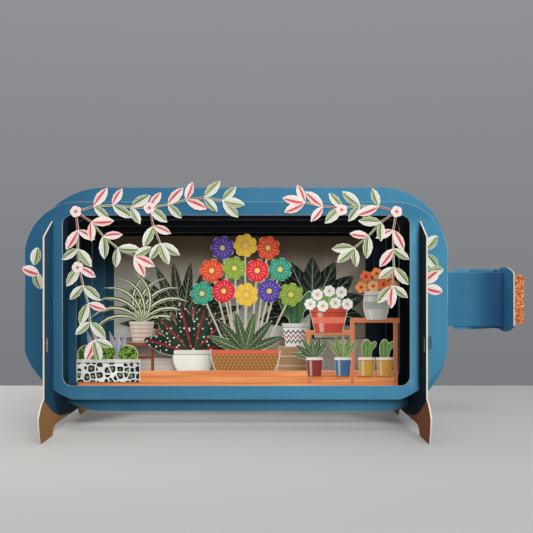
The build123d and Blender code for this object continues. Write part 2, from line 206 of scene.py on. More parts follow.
class Shader:
    """The nodes of one material or world, built from expressions."""

    def __init__(self, tree):
        self.tree = tree

    def node(self, kind, settings=None, inputs=None, output=0):
        """Adds a node, with its settings first and then its sockets, and gives one output."""
        node = self.tree.nodes.new(kind)
        for name, setting in (settings or {}).items():
            setattr(node, name, setting)
        for name, value in (inputs or {}).items():
            self.feed(node.inputs[name], value)
        return Value(self, node.outputs[output])

    def feed(self, socket, value):
        if isinstance(value, Value):
            self.tree.links.new(value.socket, socket)
        else:
            socket.default_value = value

    def math(self, operation, *values):
        return self.node("ShaderNodeMath", {"operation": operation}, dict(enumerate(values)))

    def mix(self, share, first, second, blend="MIX"):
        """A blend of two colours."""
        settings = {"data_type": "RGBA", "blend_type": blend}
        return self.node("ShaderNodeMix", settings, {0: share, 6: first, 7: second}, 2)

    def split(self, vector):
        parts = self.node("ShaderNodeSeparateXYZ", inputs={0: vector}).socket.node
        return [Value(self, socket) for socket in parts.outputs]

    def seen(self):
        """1 for what the camera sees, and 0 for light that reaches other surfaces."""
        return self.node("ShaderNodeLightPath", output="Is Camera Ray")


class Finish(Shader):
    """One material."""

    def __init__(self, name, roughness=0.62):
        self.material = bpy.data.materials.new(name)
        self.material.use_nodes = True
        super().__init__(self.material.node_tree)
        self.surface = self.tree.nodes["Principled BSDF"]
        self.surface.inputs["Roughness"].default_value = roughness
        self.surface.inputs["Specular IOR Level"].default_value = 0.07

    def paint(self, name, value):
        self.feed(self.surface.inputs[name], value)

    def vector(self):
        """Object coordinates, in metres."""
        return self.node("ShaderNodeTexCoord", output="Object")

    def place(self, vector):
        """Object coordinates as three numbers, in millimetres."""
        return [part / mm for part in self.split(vector)]

    def facing(self):
        """The surface's direction, as three numbers."""
        return self.split(self.node("ShaderNodeTexCoord", output="Normal"))

    def stretched(self, vector, scale):
        return self.node("ShaderNodeMapping", inputs={0: vector, 3: scale})

    def noise(self, vector, scale, detail=2.0):
        inputs = {"Vector": vector, "Scale": scale, "Detail": detail}
        return self.node("ShaderNodeTexNoise", inputs=inputs)

    def cells(self, vector, scale, randomness=1.0, feature="F1", output="Distance"):
        inputs = {"Vector": vector, "Scale": scale, "Randomness": randomness}
        return self.node("ShaderNodeTexVoronoi", {"feature": feature}, inputs, output)

    def shape_place(self):
        """Place on a printed shape: along and across it, each from 0 to 1."""
        return self.split(self.node("ShaderNodeUVMap", {"uv_map": "print"}))[:2]

    def tint(self):
        """The shape's own ink and its own number from 0 to 1."""
        colour = self.node("ShaderNodeAttribute", {"attribute_name": "tint"}, output="Color")
        return colour, Value(self, colour.socket.node.outputs["Alpha"])


def paper_feel(finish, colour, vector, tooth=1.0):
    """Gives a printed colour the mottle and tooth of uncoated card."""
    fibre = finish.noise(vector, 1900.0, 3.0)
    mottle = finish.noise(vector, 46.0, 3.0)
    level = 0.93 + (fibre - 0.5) * 0.16 + (mottle - 0.5) * 0.22
    level = finish.node("ShaderNodeCombineColor", inputs={0: level, 1: level, 2: level})
    finish.paint("Base Color", finish.mix(1.0, colour, level, "MULTIPLY"))
    finish.paint("Roughness", 0.56 + fibre * 0.14)
    bump = {"Strength": 0.35 * tooth, "Distance": 0.00004, "Height": fibre}
    finish.paint("Normal", finish.node("ShaderNodeBump", inputs=bump))


def card_finish(name, printed_face, ink_of, wear=0.5):
    """A card printed on its faces, with rubbed corners and cut edges that are pale, with painted
    shade on the cut edges that face down."""
    finish = Finish(name)
    vector = finish.vector()
    place = finish.place(vector)
    facing = finish.facing()
    rounded = finish.node("ShaderNodeBevel", {"samples": 4}, {"Radius": 0.0003})
    flat = finish.node("ShaderNodeNewGeometry", output="Normal")
    both = {0: rounded, 1: flat}
    turned = finish.node("ShaderNodeVectorMath", {"operation": "DOT_PRODUCT"}, both, 1)
    rub = (1.0 - turned).fade(0.02, 0.12) * finish.noise(vector, 210.0).fade(0.1, 0.5)
    far_up_or_down = abs(place[2] - calm_height).fade(18.0, 28.0)
    rub = rub * (far_up_or_down * 0.8 + 0.2)
    printed = finish.mix(rub * wear, ink_of(finish, vector, place, facing), bare_card)
    layers = finish.noise(vector, 3200.0, 1.0)
    edge = finish.mix(layers, ink(206, 190, 164), bare_card)
    # Painted shade on cut edges that face down
    edge = finish.mix((facing[2] < -0.5) * 0.85, edge, ink(44, 52, 56))
    colour = finish.mix(printed_face(facing), edge, printed) if printed_face else printed
    paper_feel(finish, colour, vector)
    return finish.material


# Which faces of a sheet are printed, by the way that they face

def across_y(facing):
    return abs(facing[1]) > 0.5


def across_x(facing):
    return abs(facing[0]) > 0.5


def along_fold(facing):
    return abs(facing[2]) < 0.5


# Inks of the card's sheets

def blue_ink(finish, vector, place, facing):
    """Blue with painted light that lightens it from left to right and painted shade at its left end,
    with faint level streaks.
    """
    streak = finish.noise(finish.stretched(vector, (9.0, 9.0, 700.0)), 1.0, 1.0)
    # Painted light and shade: lighter to the right, darker at the panels' left end
    painted_shading_rightward = place[0].fade(window_left, window_right)
    past_left_painted_shade = place[0].fade(panel_low.x + 2.0, window_left + 14.0)
    blue = finish.mix(painted_shading_rightward, ink(57, 112, 142), ink(71, 137, 168))
    blue = finish.mix(past_left_painted_shade, ink(38, 88, 118), blue)
    return finish.mix(streak * 0.3, blue, ink(44, 94, 126))


def front_ink(finish, vector, place, facing):
    """Blue of the front panel, deeper over the window, with a painted highlight right of the window
    and the cradle's painted shadow beyond it.
    """
    x, y, z = place
    over_window = z.fade(window_top - 4.0, window_top + 1.0)
    beside_window = z.fade(18.0, 24.0) * (1.0 - z.fade(90.0, 97.0))
    # Painted highlight beside the window's right edge, and painted shadow beside the right cradle
    painted_highlight = (x - painted_highlight_x).inside(painted_highlight_half, 0.8)
    painted_cradle_shadow = (x - body_x).fade(cradle_reach - 2.6, cradle_reach - 0.6)
    painted_cradle_shadow = painted_cradle_shadow * (x < body_x + cradle_reach)
    blue = blue_ink(finish, vector, place, facing)
    blue = finish.mix(over_window * 0.25, blue, ink(0, 60, 100))
    blue = finish.mix(painted_highlight * beside_window * 0.3, blue, ink(118, 190, 226))
    return finish.mix(painted_cradle_shadow * beside_window * 0.8, blue, painted_shade)


def frame_ink_with_painted_shade(finish, vector, place, facing):
    """Blue of the inner frames with painted shade round their windows, most at the top and right,
    and painted shade under the front panel's edge and in the low right corner."""
    x, y, z = place
    beside = (abs(x - body_x) - (frame_half.x - corner_round)).larger(0.0)
    above = (abs(z - axis_height) - (frame_half.z - corner_round)).larger(0.0)
    rounded = (beside ** 2.0 + above ** 2.0).math("SQRT")
    between_cradles = abs(x - body_x) < cradle_reach
    within = (1.0 - rounded.fade(corner_round - 0.2, corner_round + 1.2)) * between_cradles
    # Painted shade that deepens upward and rightward inside the window's rounded outline
    upward = z.fade(48.0, 92.0)
    painted_shading_rightward = x.fade(10.0, window_right)
    depth = 0.1 + upward.larger(painted_shading_rightward) * 0.9
    # Painted shade on the low band under the front panel's edge, deepest near the right corner
    low_band = between_cradles * (1.0 - z.fade(17.0, 21.0))
    off_low_edge = z.fade(8.0, 14.0)
    right_corner = x.fade(56.0, 64.0) * 0.8
    blue = blue_ink(finish, vector, place, facing)
    blue = finish.mix(low_band * off_low_edge.larger(right_corner), blue, painted_shade)
    return finish.mix(depth * within, blue, painted_shade)


def frame_ink(finish, vector, place, facing):
    """Inner frame: painted shade on its front, plain blue behind."""
    blue = blue_ink(finish, vector, place, facing)
    return finish.mix(facing[1] < 0.0, blue, frame_ink_with_painted_shade(finish, vector, place, facing))


def tray_ink(finish, vector, place, facing):
    """Blue outside; inside with the same painted shade as the inner frames, over a pale floor."""
    reach = facing[0] * (place[0] - body_x) + facing[2] * (place[2] - axis_height)
    outward = reach > 5.0
    backward = facing[1] > 0.5
    upward = facing[2] > 0.5
    blue = blue_ink(finish, vector, place, facing)
    inside = finish.mix(upward, frame_ink_with_painted_shade(finish, vector, place, facing), floor_beige)
    return finish.mix(outward.larger(backward), inside, blue)


def cork_ink(finish, vector):
    """Tan ground with dark and pale crumbs."""
    crumb = finish.split(finish.cells(vector, 1500.0, output="Color"))[0]
    ground = finish.mix(finish.noise(vector, 700.0), ink(186, 96, 50), ink(222, 134, 78))
    ground = finish.mix((crumb > 0.8) * 0.85, ground, ink(240, 172, 112))
    return finish.mix((crumb < 0.2) * 0.85, ground, ink(128, 62, 32))


def body_ink(finish, vector, place, facing):
    """Inner frame, darker past the shoulder, with the lip's painted shadow on the neck beside it; its
    tongue past the lip is cork.
    """
    x = place[0]
    past_shoulder = x.fade(shoulder_x - 6.0, shoulder_x + 6.0)
    # Painted shadow of the lip on the neck
    painted_lip_shadow = x.fade(lip_x - 18.0, lip_x - 6.0)
    blue = frame_ink(finish, vector, place, facing)
    blue = finish.mix(past_shoulder * 0.5, blue, ink(40, 88, 118))
    blue = finish.mix(painted_lip_shadow * 0.9, blue, ink(28, 70, 104))
    return finish.mix(x > cork_start, blue, cork_ink(finish, vector))


def lip_ink(finish, vector, place, facing):
    """Clear blue of the bottle's lip, a lighter copy of the panels' blue: painted light on its face
    that turns from the lamps.
    """
    return finish.mix(finish.noise(vector, 60.0), ink(92, 172, 214), ink(84, 162, 204))


def cradle_ink(finish, vector, place, facing):
    """Blue plate with kraft feet, parted along an arc under the bottle, with painted shade inside,
    near black on the right cradle and between the feet.
    """
    x, y, z = place
    reach = (y * y + (z - kraft_arc_height) ** 2.0).math("SQRT")
    right_cradle = x > 0.0
    fibre = finish.noise(finish.stretched(vector, (900.0, 2600.0, 260.0)), 1.0, 3.0)
    kraft = finish.mix(fibre.fade(0.3, 0.7), ink(172, 124, 76), ink(204, 152, 98))
    # Painted shade: the right cradle's kraft is darker
    kraft = finish.mix(right_cradle * 0.52, kraft, ink(126, 50, 36))
    # Painted shade on the inner faces, deepest behind the front panel and on the right cradle
    past_rear_panel = y.fade(24.0, 30.0)
    inward = (facing[0] * (x - body_x) < 0.0) * (1.0 - past_rear_panel)
    off_foot = z.fade(14.0, 30.0)
    near_top = z.fade(62.0, 94.0)
    behind_front = y.fade(-36.0, -12.0)
    depth = behind_front * (0.65 - (off_foot * 0.5 - near_top * 0.35)) + 0.1
    depth = inward * depth.larger(right_cradle * 0.95)
    plate = finish.mix(depth, blue_ink(finish, vector, place, facing), painted_shade)
    # Painted shade on the kraft between the feet
    between_feet = y.fade(-4.0, 6.0)
    kraft = finish.mix(inward * between_feet * 0.85, kraft, painted_shade)
    return finish.mix(reach > kraft_arc_radius, plate, kraft)


def boards(light, dark, grain_scale, joints_each_mm, joint_width, joint_share, joint_ink):
    """Floor boards seen along their length, with a grain and dark joints."""
    def ink_of(finish, vector, place, facing):
        grain = finish.noise(finish.stretched(vector, grain_scale), 1.0, 4.0)
        colour = finish.mix(grain.fade(0.3, 0.7), light, dark)
        joint = place[2].wave(joints_each_mm) < joint_width
        return finish.mix(joint * joint_share, colour, joint_ink)
    return ink_of


def plain_ink(first, second):
    """A ground of two close colours."""
    def ink_of(finish, vector, place, facing):
        return finish.mix(finish.noise(vector, 160.0).fade(0.35, 0.65), first, second)
    return ink_of


# Inks of the printed shapes. Along runs from 0 to 1, and side from -1 to 1 across.

def printed_shape(name, colour_of):
    """Ink of one printed shape, worked out from its own map and tint."""
    finish = Finish(name)
    vector = finish.vector()
    along, across = finish.shape_place()
    tint, number = finish.tint()
    colour = colour_of(finish, along, across * 2.0 - 1.0, tint, number, vector)
    paper_feel(finish, colour, vector, 0.6)
    return finish.material


def striped_leaf(finish, along, side, tint, number, vector):
    """Wandering leaf, streaked lengthwise: one half green or crimson, the other white."""
    side = side + (finish.noise(vector, 300.0) - 0.5) * 0.12
    side = side * (((number * 8.0).math("FRACT") > 0.5) * 2.0 - 1.0)
    flushed = number > 0.6
    reach = abs(side)
    green = finish.mix(reach.fade(0.1, 0.7) * 0.4, tint, ink(160, 172, 108))
    green = finish.mix((reach - 0.56).inside(0.05, 0.04) * 0.6, green, leaf_white)
    crimson = finish.mix(reach.fade(0.2, 0.75), ink(216, 92, 104), ink(244, 206, 196))
    crimson = finish.mix((reach - 0.38).inside(0.08, 0.05) * 0.9, crimson, ink(190, 36, 66))
    streaks = (reach - 0.3).inside(0.07, 0.05).larger((reach - 0.6).inside(0.06, 0.05) * 0.8)
    streak_ink = finish.mix(flushed, olive, ink(204, 128, 120))
    pale = finish.mix(streaks * 0.9, leaf_white, streak_ink)
    leafy = finish.mix(side > 0.0, pale, finish.mix(flushed, green, crimson))
    midrib_ink = finish.mix(flushed, olive, ink(170, 36, 60))
    leafy = finish.mix(side.inside(0.05, 0.03) * 0.9, leafy, midrib_ink)
    rim_ink = finish.mix(flushed, olive, ink(176, 110, 96))
    leafy = finish.mix((reach - 0.83).inside(0.05, 0.04) * 0.6, leafy, rim_ink)
    border = reach.fade(0.88, 0.95).larger(1.0 - (along - 0.5).inside(0.47, 0.03))
    return finish.mix(border, leafy, leaf_white)


def ribbed_leaf(finish, along, side, tint, number, vector):
    """Leaf with a pale midrib, slanting veins and one darker half."""
    reach = abs(side)
    shade = finish.mix((side > 0.0) * 0.28, tint, ink(18, 30, 16))
    veins = (along * 9.0 - reach * 1.6).wave(1.0).fade(0.86, 0.97) * reach.fade(0.05, 0.15)
    pale = finish.mix(0.42, tint, ink(232, 236, 190))
    shade = finish.mix(veins * 0.75, shade, pale)
    return finish.mix(side.inside(0.09, 0.04), shade, pale)


def split_leaf(finish, along, side, tint, number, vector):
    """Broad dark leaf slit between its veins."""
    reach = abs(side)
    rake = along * 5.0 - reach * 1.3
    slit = (rake.math("FRACT") - 0.5).inside(0.1, 0.04)
    slit = slit * reach.fade(0.42, 0.5) * along.inside(0.86, 0.02)
    veins = ((rake + 0.5).math("FRACT") - 0.5).inside(0.035, 0.03) * reach.fade(0.02, 0.1)
    colour = finish.mix((side > 0.0) * 0.3, tint, ink(20, 28, 22))
    colour = finish.mix(veins * 0.6, colour, ink(150, 160, 140))
    colour = finish.mix(side.inside(0.05, 0.02), colour, ink(164, 172, 150))
    return finish.mix(slit, colour, ink(12, 16, 14))


def ribbon_leaf(finish, along, side, tint, number, vector):
    """Arching leaf with a cream middle and green margins."""
    reach = abs(side)
    margin = finish.mix(reach.fade(0.7, 0.95), tint, ink(66, 88, 46))
    return finish.mix(reach.fade(0.3, 0.42), ink(252, 250, 218), margin)


def spotted_leaf(finish, along, side, tint, number, vector):
    """Dark leaf with white spots and a red midrib."""
    dots = 1.0 - finish.cells(vector, 420.0, 0.7).fade(0.17, 0.23)
    dotted = finish.mix(dots, tint, ink(246, 246, 236))
    return finish.mix(side.inside(0.12, 0.04), dotted, ink(168, 44, 52))


def petalled(petals, heart, streaks):
    """Flower head: petals shaded to their edges, with streaks and a heart."""
    def colour_of(finish, along, side, tint, number, vector):
        across = along * 2.0 - 1.0
        reach = (across * across + side * side).math("SQRT")
        turn = side.math("ARCTAN2", across) / (2 * pi)
        fold = 1.0 - ((turn * petals).math("FRACT") - 0.5).inside(0.44, 0.04)
        deep = finish.mix(0.45, tint, ink(60, 14, 24))
        colour = finish.mix(reach.fade(0.1, 0.75) * 0.5 + 0.5, deep, tint)
        line = (turn * petals * streaks).wave(1.0).fade(0.8, 0.95)
        line = line * reach.fade(0.3, 0.45) * (1.0 - reach.fade(0.7, 0.85))
        colour = finish.mix(line * 0.3, colour, ink(252, 244, 232))
        colour = finish.mix(fold * reach.fade(0.25, 0.4) * 0.55, colour, deep)
        return finish.mix(1.0 - reach.fade(0.2, 0.26), colour, heart)
    return colour_of


def stem_ink(finish, along, side, tint, number, vector):
    return finish.mix(abs(side).fade(0.5, 1.0) * 0.4, tint, ink(60, 44, 30))


def timber(finish, along, side, tint, number, vector):
    """Painted rail with a darker grain and a lit upper edge."""
    grain = (side * 2.6 + finish.noise(vector, 120.0) * 2.4).wave(1.0).fade(0.55, 0.95)
    colour = finish.mix(grain * 0.35, tint, ink(150, 74, 44))
    return finish.mix((side - 0.85).fade(0.0, 0.1) * 0.4, colour, ink(250, 200, 160))


# Decoration of the pots: each takes the pot's colour and its place, height from 0 to 1

def zigzag(finish, colour, line_ink, along, height, vector):
    """Three toothed lines, the middle one red."""
    tooth = abs((along * 5.0).math("FRACT") - 0.5) * 0.3
    for level, line in ((0.22, line_ink), (0.42, ink(186, 62, 62)), (0.62, line_ink)):
        colour = finish.mix((height - level - tooth + 0.07).inside(0.042, 0.012), colour, line)
    return colour


def hoops(finish, colour, hoop_ink, along, height, vector):
    hoop = (height * 5.0).wave(1.0).fade(0.72, 0.9) * (height < 0.82)
    return finish.mix(hoop * 0.8, colour, hoop_ink)


def one_band(finish, colour, band_ink, along, height, vector):
    return finish.mix((height - 0.5).inside(0.13, 0.012), colour, band_ink)


def spots(finish, colour, spot_ink, along, height, vector):
    """Close dark spots with green hearts."""
    edge = finish.cells(vector, 310.0, 0.7, "DISTANCE_TO_EDGE")
    heart = finish.cells(vector, 310.0, 0.7)
    spot = edge.fade(0.08, 0.12) * (1.0 - heart.fade(0.56, 0.62))
    colour = finish.mix(spot, colour, spot_ink)
    return finish.mix((1.0 - heart.fade(0.2, 0.28)) * 0.8, colour, ink(140, 164, 96))


def glazed(rim_ink, decoration=None, line_ink=None):
    """Pot shaded round its sides, with a rim and at most one decoration."""
    def colour_of(finish, along, side, tint, number, vector):
        across = along * 2.0 - 1.0
        height = side * 0.5 + 0.5
        colour = finish.mix(across.fade(0.1, 1.0) * 0.32, tint, pot_shade)
        colour = finish.mix((across + 0.5).inside(0.14, 0.1) * 0.35, colour, ink(255, 250, 240))
        if decoration:
            colour = decoration(finish, colour, line_ink, along, height, vector)
        rim = finish.mix(across.fade(0.1, 1.0) * 0.3, rim_ink, pot_shade)
        colour = finish.mix((height > 0.84) * 0.85, colour, rim)
        return finish.mix((height - 0.83).inside(0.02, 0.008) * 0.5, colour, ink(50, 34, 28))
    return colour_of


def woven(finish, along, side, tint, number, vector):
    """Basket weave with a plain rim."""
    height = side * 0.5 + 0.5
    rows = (height * 9.0).wave(1.0)
    columns = (along * 16.0 + (height * 9.0).math("FLOOR") * 0.5).wave(1.0)
    colour = finish.mix((columns * 0.6 + rows * 0.4).fade(0.25, 0.75), ink(150, 96, 48), tint)
    return finish.mix(height > 0.86, colour, ink(232, 108, 84))


def ribbed_cactus(finish, along, side, tint, number, vector):
    """Rounded stem with ribs and pale spines."""
    ribs = (along * 2.0 - 1.0).math("ARCSINE").wave(1.3)
    colour = finish.mix(ribs * 0.45, tint, ink(24, 46, 28))
    spines = 1.0 - finish.cells(vector, 1100.0).fade(0.1, 0.2)
    return finish.mix(spines * 0.8, colour, ink(232, 234, 206))


def shrub_ink(finish, along, side, tint, number, vector):
    """Clipped shrub of small leaves."""
    return finish.mix(finish.cells(vector, 900.0).fade(0.3, 0.75), tint, ink(46, 80, 34))


def wall_ink(finish, along, side, tint, number, vector):
    """Room's back wall: panes, a rail, the floor's far edge, and painted shade under the ceiling and
    toward the right.
    """
    height = side * 0.5 + 0.5
    beside = along - 0.72
    blot = finish.noise(vector, 30.0, 3.0)
    colour = finish.mix(blot.fade(0.3, 0.7), wall_cream, ink(226, 226, 212))
    pane = beside.inside(0.115, 0.003) * (height - 0.72).inside(0.17, 0.006)
    bars = (1.0 - beside.inside(0.003, 0.001)) * (1.0 - (height - 0.72).inside(0.006, 0.002))
    colour = finish.mix(pane * bars * 0.45, colour, ink(164, 180, 176))
    sill = beside.inside(0.14, 0.003) * (height - 0.53).inside(0.014, 0.003)
    colour = finish.mix(sill * 0.8, colour, ink(150, 96, 66))
    # Painted shade under the ceiling and toward the right
    painted_wall_shade = height.fade(0.3, 0.94).larger(along.fade(0.74, 1.0) * 0.9)
    colour = finish.mix(painted_wall_shade * 0.92, colour, ink(100, 72, 36))
    colour = finish.mix(height < 0.17, colour, ink(188, 170, 156))
    return finish.mix((height - 0.17).inside(0.006, 0.002), colour, ink(120, 102, 84))


# Outlines, each a function from a square's place to a place in millimetres. Leaves and pots
# leave a margin of bare card.

def arc_rise(share, length, rise):
    """Height of a shallow arc over its chord."""
    radius = (length * length / 4 + rise * rise) / (2 * rise)
    reach = (share - 0.5) * length
    return sqrt(radius * radius - reach * reach) - radius + rise


def leaf(length, width, margin=0.86):
    def at(u, v):
        share = 0.03 + u * 0.93
        half = arc_rise(share, length, width / 2) * margin
        return share * length, (v * 2 - 1) * half
    return at


def blade(length, width, arch, side):
    def at(u, v):
        share = 0.02 + u * 0.96
        low = arc_rise(share, length, arch)
        high = arc_rise(share, length, arch + width)
        return share * length, side * (low + (high - low) * (0.06 + v * 0.88))
    return at


def pot(top, base, height, belly=0.0):
    def at(u, v):
        half = (base + (top - base) * v) / 2 + belly * (1 - (2 * v - 1) ** 2)
        return (u * 2 - 1) * half * 0.97, height * v
    return at


def plate(width, height):
    def at(u, v):
        return (u - 0.5) * width, v * height
    return at


class Print:
    """Inked shapes on the front of one card piece, each laid over the last."""

    clearance = 0.03
    layer = 0.006
    film_thickness = 0.004

    def __init__(self, node, slot, face=None):
        self.node = node
        self.slot = slot
        self.bm = bmesh.new()
        self.uv = self.bm.loops.layers.uv.new("print")
        self.tint = self.bm.verts.layers.float_color.new("tint")
        self.front = corner(node).y - self.clearance if face is None else face
        self.inks = []
        self.count = 0

    def lay(self, verts, outline, place, angle, name, tint, number=0.5):
        """Moves fresh vertices of a unit square to an outline, turned and placed."""
        if name not in self.inks:
            self.inks.append(name)
        turn = radians(angle)
        depth = self.front - self.layer * self.count
        self.count += 1
        faces = {face for vert in verts for face in vert.link_faces}
        for face in faces:
            face.material_index = self.inks.index(name)
            for loop in face.loops:
                loop[self.uv].uv = (loop.vert.co.x + 0.5, loop.vert.co.y + 0.5)
        for vert in verts:
            x, z = outline(vert.co.x + 0.5, vert.co.y + 0.5)
            right = place[0] + x * cos(turn) - z * sin(turn)
            up = place[1] + x * sin(turn) + z * cos(turn)
            vert.co = Vector((right, depth, up)) * mm
            vert[self.tint] = (*tint[:3], number)
        bmesh.ops.remove_doubles(self.bm, verts=verts, dist=0.000002)
        faces = [face for face in faces if face.is_valid]
        for face in faces:
            face.normal_update()
        bmesh.ops.reverse_faces(self.bm, faces=[face for face in faces if face.normal.y > 0])

    def shape(self, outline, place, angle, name, tint, number=0.5, steps=(8, 4)):
        made = bmesh.ops.create_grid(self.bm, x_segments=steps[0], y_segments=steps[1], size=0.5)
        self.lay(made["verts"], outline, place, angle, name, tint, number)

    def round(self, outline, place, angle, name, tint, segments):
        made = bmesh.ops.create_circle(self.bm, cap_ends=True, cap_tris=True, segments=segments,
                                       radius=0.5)
        self.lay(made["verts"], outline, place, angle, name, tint)

    def bloom(self, radius, petals, place, name, tint):
        """Flower head with its edge dipped between the petals."""
        def at(u, v):
            turn = atan2(v - 0.5, u - 0.5) / (2 * pi) * petals
            dip = abs(turn - floor(turn) - 0.5) * 2
            reach = radius * (1 - 0.22 * dip ** 6) * 0.95
            return (u - 0.5) * 2 * reach, (v - 0.5) * 2 * reach
        self.round(at, place, 0, name, tint, petals * 6)

    def blooms(self, radius, petals, middle, step, places, name, tints):
        """Flower heads set out in even steps from a middle."""
        for i, (dx, dz) in enumerate(places):
            place = (middle[0] + dx * step, middle[1] + dz * step)
            self.bloom(radius, petals, place, name, tints[i % len(tints)])

    def oval(self, width, height, place, name, tint, angle=0):
        def at(u, v):
            return (u - 0.5) * width * 0.94, (v - 0.5) * height * 0.94
        self.round(at, place, angle, name, tint, 28)

    def bar(self, start, end, width, name, tint):
        length = hypot(end[0] - start[0], end[1] - start[1])
        angle = atan2(end[1] - start[1], end[0] - start[0])

        def at(u, v):
            return u * length, (v - 0.5) * width
        self.shape(at, start, angle * 180 / pi, name, tint, steps=(2, 1))

    def fan(self, outline, place, count, first, last, name, tints):
        """Leaves turned evenly from one angle to another, the outer ones first."""
        step = (last - first) / (count - 1)
        for i in sorted(range(count), key=lambda i: -abs(i - (count - 1) / 2)):
            self.shape(outline, place, first + step * i, name, tints[i % len(tints)])

    def done(self):
        """Turns the shapes into a piece, with the thickness of a film of ink."""
        mesh = bpy.data.meshes.new(self.node + "_print")
        self.bm.to_mesh(mesh)
        self.bm.free()
        for name in self.inks:
            mesh.materials.append(inks[name])
        piece = bpy.data.objects.new(self.node + "_print", mesh)
        bpy.context.scene.collection.objects.link(piece)
        film = piece.modifiers.new("film", "SOLIDIFY")
        film.thickness = self.film_thickness * mm
        film.offset = -1.0
        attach(piece, "root")


# Each ink by the short name that the prints use for it
inks = {
    "garland": printed_shape("garland_leaf", striped_leaf),
    "leaf": printed_shape("ribbed_leaf", ribbed_leaf),
    "ribbon": printed_shape("ribbon_leaf", ribbon_leaf),
    "spotted": printed_shape("spotted_leaf", spotted_leaf),
    "split": printed_shape("split_leaf", split_leaf),
    "stem": printed_shape("stem", stem_ink),
    "timber": printed_shape("painted_timber", timber),
    "blossom": printed_shape("garland_blossom", petalled(5, ink(196, 60, 84), 3.0)),
    "bloom": printed_shape("trug_bloom", petalled(7, ink(246, 214, 120), 2.0)),
    "daisy": printed_shape("daisy", petalled(7, ink(228, 170, 40), 1.0)),
    "poppy": printed_shape("jug_flower", petalled(5, ink(150, 62, 24), 2.0)),
    "shrub": printed_shape("shrub", shrub_ink),
    "cactus": printed_shape("cactus", ribbed_cactus),
    "planter": printed_shape("spotted_planter", glazed(ink(240, 238, 228), spots, ink(34, 38, 44))),
    "plain_pot": printed_shape("plain_pot", glazed(ink(244, 236, 224))),
    "red_pot": printed_shape("ringed_pot", glazed(ink(206, 84, 62), one_band, ink(232, 122, 96))),
    "hooped_pot": printed_shape("hooped_pot", glazed(ink(236, 222, 204), hoops, ink(206, 150, 128))),
    "zigzag_pot": printed_shape("zigzag_pot", glazed(ink(240, 236, 226), zigzag, ink(52, 52, 56))),
    "jug": printed_shape("grey_jug", glazed(ink(214, 212, 204), one_band, ink(176, 176, 168))),
    "basket": printed_shape("woven_trug", woven),
    "wall": printed_shape("room_wall", wall_ink),
}

# Picks each garland leaf's green and number, the same each run
draw = Random(11)


def dress(nodes, material):
    """Gives a finish to the card's own sheets."""
    for node in nodes:
        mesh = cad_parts[node].data
        mesh.materials.clear()
        mesh.materials.append(material)


def spray(sheet, start, heading, turns, side):
    """Stem that turns a little at each node, with a large and a small leaf there in turn."""
    large, small = leaf(*large_sprig, 0.9), leaf(*small_sprig, 0.9)
    x, z = start
    seats = []
    for turn in turns:
        heading += turn
        end = (x + sprig_pitch * cos(radians(heading)), z + sprig_pitch * sin(radians(heading)))
        sheet.bar((x, z), end, 0.6, "stem", stem_green if len(seats) % 3 else stem_red)
        x, z = end
        seats += [(end, heading + side * sprig_near, large),
                  (end, heading - side * sprig_far, small)]
        side = -side
    seats.append(((x, z), heading, large))
    for place, angle, outline in seats:
        tint = draw.choice(greens)
        sheet.shape(outline, place, angle, "garland", tint, draw.uniform(0.02, 0.98))


def blossoms(sheet, middle, places):
    sheet.blooms(2.7, 5, middle, sprig_pitch, places, "blossom", [ink(244, 222, 212)])


def left_garland():
    sheet = Print("left_garland", "leaf_card")
    x, z = window_left + garland_inset, window_top + garland_rise
    fork = (3.95, 0.2)
    spray(sheet, (x, z), 16, (0, -12, -10, 4, 12, 4, -6, -18), 1)
    spray(sheet, (x, z), -84, (0, -6, 4, 8, 4, -10, 8), -1)
    spray(sheet, (x, z), -34, (0, -16, 10, 14), 1)
    spray(sheet, (x + fork[0] * sprig_pitch, z + fork[1] * sprig_pitch), -78, (0, 10), -1)
    blossoms(sheet, (x, z), ((0, 0), fork, (0.1, -3.0)))
    sheet.done()


def right_garland():
    sheet = Print("right_garland", "leaf_card")
    start = (window_right - garland_inset, window_top + garland_rise)
    spray(sheet, start, 164, (0, 14, 8, -10, -8), 1)
    spray(sheet, start, -100, (0, 10, 2, -6), 1)
    spray(sheet, start, 214, (0, 14, -8), -1)
    blossoms(sheet, start, ((0, 0), (-2.95, 0.1)))
    sheet.done()


def planter_box():
    """Spotted planter of clipped shrubs, with two spiky plants."""
    sheet = Print("planter_box", "scene_card")
    width, height = 31.0, 11.0
    x = window_left + planter_place + width / 2
    top = stand_z + height
    spikes = [ink(150, 150, 176), ink(170, 170, 190)]
    for dx in (-6.2, 4.65):
        sheet.fan(leaf(15.0, 2.4), (x + dx, top - tuck), 3, 74, 106, "leaf", spikes)
    for dx, dz in ((-10.25, 2.0), (9.5, 2.0), (-1.25, 3.0)):
        sheet.oval(10.0, 10.0, (x + dx, top + dz), "shrub", ink(134, 170, 66))
    sheet.shape(plate(width * 0.97, height), (x, stand_z), 0, "planter", ink(254, 252, 246))
    sheet.done()


def shelf_stand():
    """Stand with a low shelf, a high shelf and a rail near the floor."""
    sheet = Print("shelf_stand", "scene_card")
    left, right = shelf_x - leg_reach, shelf_x + leg_reach
    for x, height in ((shelf_x, high_shelf), (left, low_shelf), (right, high_shelf)):
        sheet.bar((x, stand_z), (x, stand_z + height), 1.9, "timber", orange_timber)
    for x, height in ((shelf_x - shelf_half, low_shelf), (shelf_x, high_shelf)):
        z = stand_z + height - 1.1
        sheet.bar((x, z), (x + shelf_half, z), 2.1, "timber", orange_timber)
    z = stand_z + rail_height + 1.1
    sheet.bar((left, z), (right, z), 2.1, "timber", orange_timber)
    sheet.done()


